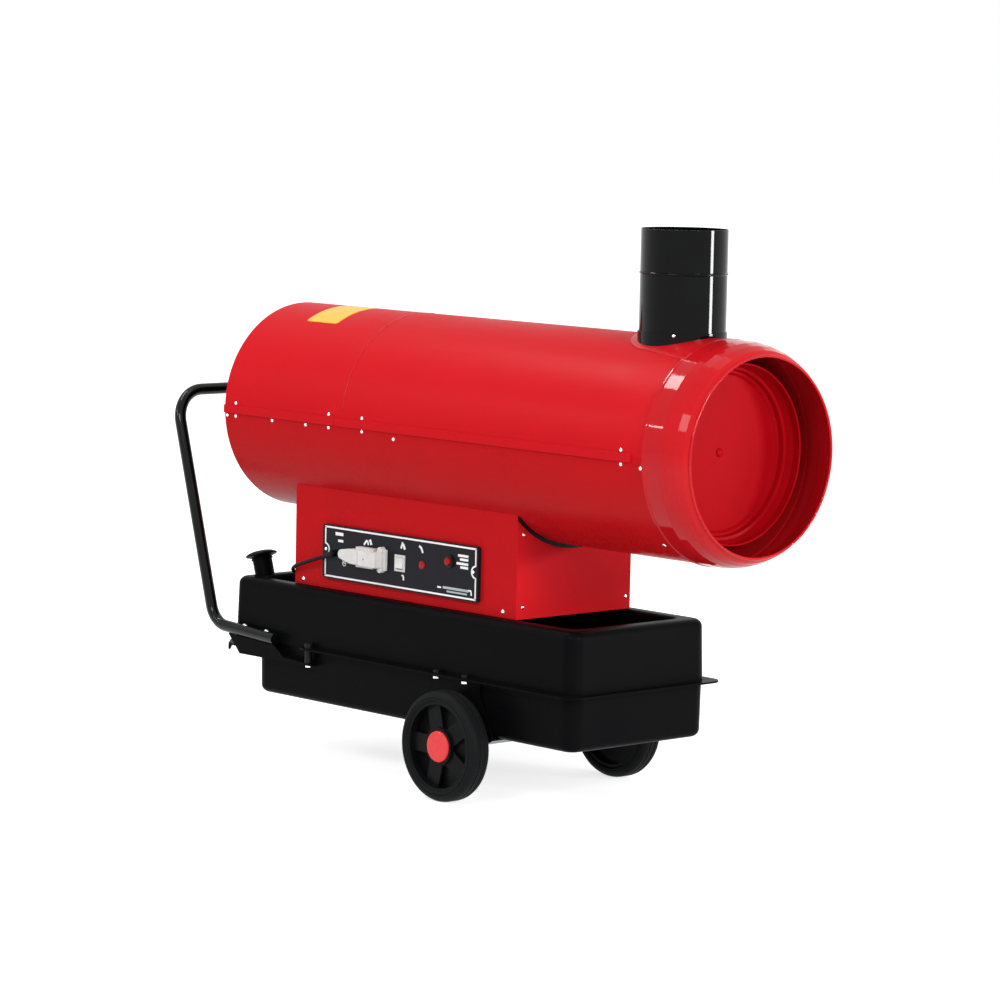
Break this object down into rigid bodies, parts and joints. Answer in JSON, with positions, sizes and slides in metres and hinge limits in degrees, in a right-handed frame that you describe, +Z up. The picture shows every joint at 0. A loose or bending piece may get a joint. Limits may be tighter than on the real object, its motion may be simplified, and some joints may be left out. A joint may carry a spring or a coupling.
{
  "type": "indirect diesel heater",
  "caption": "Red indirect diesel heater with a black flue, a round body over a control housing and a black fuel tank, on wheels with a push handle.",
  "frame": {"origin": "on the floor, at the middle of the whole heater's footprint", "axes": "+X towards the warm air outlet, -Y towards the control panel, +Z up"},
  "size_m": [1.382, 0.466, 1.021],
  "materials": {
    "red_paint": "gloss",
    "black_paint": "satin",
    "guard_wire": "satin",
    "raw_steel": "satin",
    "cast_aluminium": "satin",
    "grey_paint": "satin",
    "brass_parts": "satin",
    "copper_line": "satin",
    "zinc_screw": "satin",
    "dark_bolt": "satin",
    "black_plastic": "matte",
    "grey_plastic": "matte",
    "red_plastic": "gloss",
    "clear_filter": "gloss",
    "black_rubber": "matte"
  },
  "bodies": {
    "heater": {"lower_body": "red_paint", "rear_cover": "red_paint", "front_cover": "red_paint", "seam_rails": "red_paint", "outlet_ring": "red_paint", "intake_ring": "red_paint", "intake_grille": "guard_wire", "flue_saddle": "red_paint", "flue_lower": "black_paint", "flue_upper": "black_paint", "exchanger_drum": "red_paint", "combustion_chamber": "raw_steel", "exchanger_brackets": "raw_steel", "motor": "grey_paint", "motor_bearings": "raw_steel", "motor_bracket": "black_paint", "burner_housing": "raw_steel", "burner_tube": "raw_steel", "burner_nozzle": "brass_parts", "fuel_pump": "cast_aluminium", "base_ends": "red_paint", "base_side_near": "red_paint", "base_side_far": "red_paint", "base_floor": "raw_steel", "base_trim": "black_plastic", "control_box": "black_paint", "ignition_transformer": "black_paint", "fuel_filter": "clear_filter", "fuel_lines": "copper_line", "control_panel": "black_plastic", "panel_fittings": "grey_plastic", "thermostat_socket": "grey_plastic", "cord_gland": "black_plastic", "mains_lead": "black_rubber", "lead_coil": "black_rubber", "mains_plug": "black_plastic", "tank_upper": "black_paint", "tank_lower": "black_paint", "fuel_strainer": "grey_plastic", "axle_hanger": "black_paint", "axle": "raw_steel", "hub_caps": "red_plastic", "rear_foot": "black_paint", "handle": "black_paint", "handle_bracket": "black_paint", "cord_hook": "black_paint", "sheet_screws": "zinc_screw", "tank_bolts": "dark_bolt"},
    "wheel_near": {"wheel_near_rim": "black_plastic", "wheel_near_tyre": "black_rubber"},
    "wheel_far": {"wheel_far_rim": "black_plastic", "wheel_far_tyre": "black_rubber"},
    "fan": {"fan_shaft": "raw_steel", "fan_hub": "cast_aluminium", "fan_blades": "cast_aluminium", "burner_impeller": "cast_aluminium"},
    "rocker_switch": {"rocker": "grey_plastic"},
    "reset": {"reset_button": "red_plastic"},
    "heat_plug": {"thermostat_plug": "grey_plastic"},
    "fuel_cap": {"filler_cap": "black_plastic"}
  },
  "joints": [
    {"name": "near_wheel_turn", "type": "hinge", "parent": "heater", "child": "wheel_near", "pos_m": [0.141, -0.211, 0.0985], "axis": [0, 1, 0], "continuous": true},
    {"name": "far_wheel_turn", "type": "hinge", "parent": "heater", "child": "wheel_far", "pos_m": [0.141, 0.211, 0.0985], "axis": [0, 1, 0], "continuous": true},
    {"name": "fan_turn", "type": "hinge", "parent": "heater", "child": "fan", "pos_m": [-0.271, 0, 0.645], "axis": [1, 0, 0], "continuous": true},
    {"name": "rocker_tilt", "type": "hinge", "parent": "heater", "child": "rocker_switch", "pos_m": [-0.0605, -0.1435, 0.3965], "axis": [1, 0, 0], "range_deg": [0, 14]},
    {"name": "reset_press", "type": "slide", "parent": "heater", "child": "reset", "axis": [0, 1, 0], "range_m": [0, 0.003], "stiffness_N_per_m": 300},
    {"name": "heat_plug_pull", "type": "slide", "parent": "heater", "child": "heat_plug", "axis": [-1, 0, 0], "range_m": [0, 0.014]},
    {"name": "fuel_cap_lift", "type": "slide", "parent": "heater", "child": "fuel_cap", "axis": [-0.309, 0, 0.9511], "range_m": [0, 0.04]}
  ]
}
